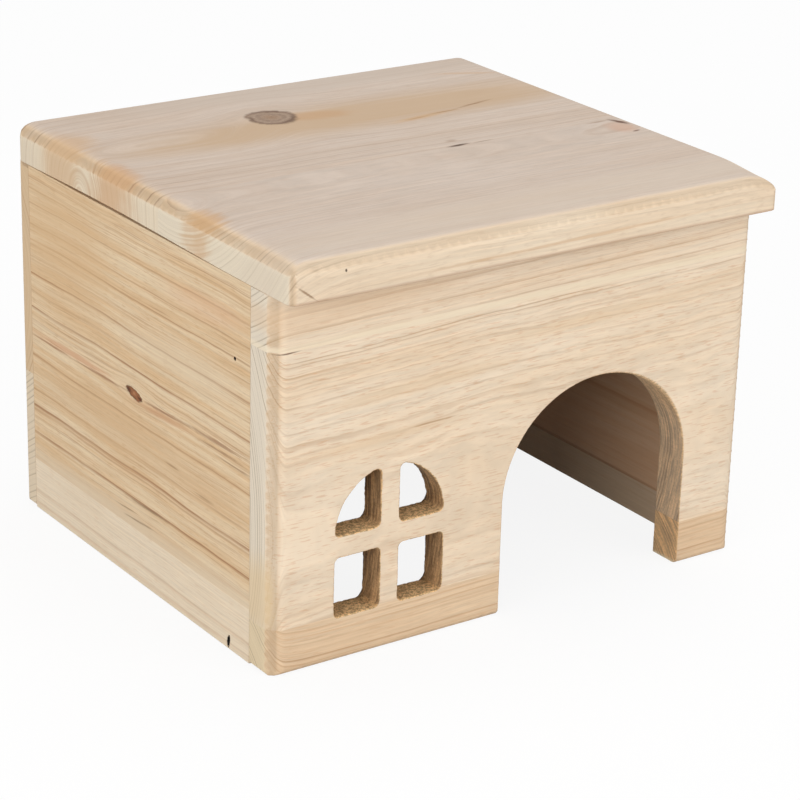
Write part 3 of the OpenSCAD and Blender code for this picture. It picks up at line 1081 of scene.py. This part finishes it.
def build_roof():
    low, high = box_mm("roof_front_stave", "roof_back_stave")
    thickness = high[Z] - low[Z]
    outline = rectangle((low[X], low[Y]), (high[X], high[Y]), ROOF_CORNER_R, EDGE_STEP)

    def shape(u, v, w):
        drop = blend_rounds(
            rounded_back(u - low[X], ROOF_ROUND, ROOF_END_ROUND_W),
            rounded_back(high[X] - u, ROOF_ROUND, ROOF_END_ROUND_W),
            rounded_back(v - low[Y], ROOF_ROUND),
        )
        reach_x, reach_y, deep = ROOF_WORN_CORNER
        drop += deep * smooth(1 - math.hypot((high[X] - u) / reach_x, (v - low[Y]) / reach_y))
        w = drop + w * (1 - drop / thickness)
        spread = min(max((v - ROOF_CUP_FROM) / (ROOF_CUP_TO - ROOF_CUP_FROM), 0.0), 1.0)
        lift = ROOF_CUP * math.sin(math.pi * spread**ROOF_CUP_SKEW) ** ROOF_CUP_POWER
        return u, v, w - lift * (w / thickness) ** 3

    columns = stations(low[X], high[X], FACE_STEP, ROOF_END_ROUND_W, ROOF_END_ROUND_W)
    rows = stations(low[Y], high[Y], FACE_STEP, ROOF_ROUND, 0.0)

    def place(u, v, w):
        return u, v, high[Z] - w

    return board_mesh([Edge(outline, EASE)], thickness, columns, rows, (), shape, place, 5)


materials = {node: wood_material(node, wood) for node, wood in WOODS.items()}


def finish_board(board, cuts_of):
    for node, cuts in cuts_of.items():
        make_piece(node, part_off(board, cuts), materials[node], SLOTS[node])
    board.free()


def finish_pair(board, low_node, high_node, axis):
    """Finishes a board of two staves, which meet at one place along the axis."""
    glue = box_mm(low_node)[1][axis]
    finish_board(board, {high_node: [(axis, glue, True)], low_node: [(axis, glue, False)]})


front_low = box_mm("front_lower_left_stave")[1][Z]
front_high = box_mm("front_upper_stave")[0][Z]
door_middle = (DOOR_LEFT + DOOR_RIGHT) / 2
finish_board(
    build_front(),
    {
        "front_upper_stave": [(Z, front_high, True)],
        "front_middle_stave": [(Z, front_low, True), (Z, front_high, False)],
        "front_lower_left_stave": [(Z, front_low, False), (X, door_middle, False)],
        "front_lower_right_stave": [(Z, front_low, False), (X, door_middle, True)],
    },
)
finish_pair(build_back(), "back_lower_stave", "back_upper_stave", Z)
for side, outward, dents, seed in (("left", -1, DENTS_LEFT, 3), ("right", 1, (), 4)):
    nodes = (f"{side}_side_lower_stave", f"{side}_side_upper_stave")
    finish_pair(build_side(nodes, outward, dents, seed), *nodes, Z)
finish_pair(build_roof(), "roof_front_stave", "roof_back_stave", Y)

# ---- Studio ----------------------------------------------

WHITE = (1, 1, 1, 1)
FLOOR_GAP = 0.02  # keeps the floor off the walls' lower edges
FLOOR_HALF_M = 4.0
FLOOR_PAPER = (0.48, 0.48, 0.48, 1)  # as it lights the house
FLOOR_SHEET = (0.95, 0.95, 0.95, 1)  # as the camera sees the lit share of it
FLOOR_LIT_SHARE = 0.11  # the rest is plain white, so the shadow stays faint
WORLD_LEVEL = 0.5
BOX_SIZE_M = 1.2
BOX_DISTANCE_M = 1.6
BOX_AIM_M = 0.05
SENSOR_MM, LENS_MM = 36.0, 124.57
CAMERA_AT = (-400.33, -580.38, 316.55)
CAMERA_TURN = (68.451, -1.406, -34.4)


def studio_floor():
    """A pale floor that the camera sees almost white, with the object's shadow left on it."""
    mesh = bpy.data.meshes.new("floor")
    half = FLOOR_HALF_M
    corners = [(-half, -half), (half, -half), (half, half), (-half, half)]
    mesh.from_pydata([(x, y, -FLOOR_GAP * MM) for x, y in corners], [], [(0, 1, 2, 3)])
    floor = new_object("floor", mesh)
    g = Graph(bpy.data.materials.new("floor_paper"))
    rays = g.add("ShaderNodeLightPath").outputs
    seen = g.math("MAXIMUM", rays["Is Camera Ray"], rays["Is Glossy Ray"])
    seen = g.math("MAXIMUM", seen, rays["Is Transmission Ray"])
    paper = g.add("ShaderNodeBsdfDiffuse", {"Color": FLOOR_PAPER})
    bright = g.add("ShaderNodeBsdfDiffuse", {"Color": FLOOR_SHEET})
    glow = g.add("ShaderNodeEmission", {"Color": WHITE, "Strength": 1.0})
    shown = g.add("ShaderNodeMixShader", {0: FLOOR_LIT_SHARE, 1: glow.outputs[0], 2: bright.outputs[0]})
    mix = g.add("ShaderNodeMixShader", {0: seen, 1: paper.outputs[0], 2: shown.outputs[0]})
    g.add("ShaderNodeOutputMaterial", {"Surface": mix.outputs[0]})
    mesh.materials.append(g.owner)


def studio_world(level):
    """Even light from all around, and a white backdrop where the camera sees past the floor."""
    world = bpy.data.worlds.new("studio")
    g = Graph(world)
    rays = g.add("ShaderNodeLightPath").outputs
    seen = g.math("MAXIMUM", rays["Is Camera Ray"], rays["Is Transmission Ray"])
    lit = g.add("ShaderNodeBackground", {"Color": WHITE, "Strength": level})
    shown = g.add("ShaderNodeBackground", {"Color": WHITE, "Strength": 1.0})
    mix = g.add("ShaderNodeMixShader", {0: seen, 1: lit.outputs[0], 2: shown.outputs[0]})
    g.add("ShaderNodeOutputWorld", {"Surface": mix.outputs[0]})
    bpy.context.scene.world = world


def softbox(name, towards, level):
    """A square white area lamp that lights a surface facing it to the given level, 1 being full."""
    lamp = bpy.data.lights.new(name, "AREA")
    lamp.shape = "SQUARE"
    lamp.size = BOX_SIZE_M
    lamp.energy = level * math.pi**2 * BOX_DISTANCE_M**2
    obj = new_object(name, lamp)
    aim = Vector((0, 0, BOX_AIM_M))
    direction = Vector(towards).normalized()
    obj.location = aim + direction * BOX_DISTANCE_M
    obj.rotation_euler = direction.to_track_quat("Z", "Y").to_euler()


def camera():
    data = bpy.data.cameras.new("camera")
    data.sensor_width = SENSOR_MM
    data.lens = LENS_MM
    obj = new_object("camera", data)
    obj.location = Vector(CAMERA_AT) * MM
    obj.rotation_euler = Euler([math.radians(a) for a in CAMERA_TURN])
    bpy.context.scene.camera = obj


studio_floor()
studio_world(WORLD_LEVEL)
softbox("left_box", (-0.9, -0.4, 0.16), 0.69)
softbox("front_right_box", (0.4, -0.9, 0.24), 0.46)
softbox("top_box", (0.2, 0.1, 1.0), 0.34)
camera()
bpy.context.scene.view_settings.view_transform = "Standard"
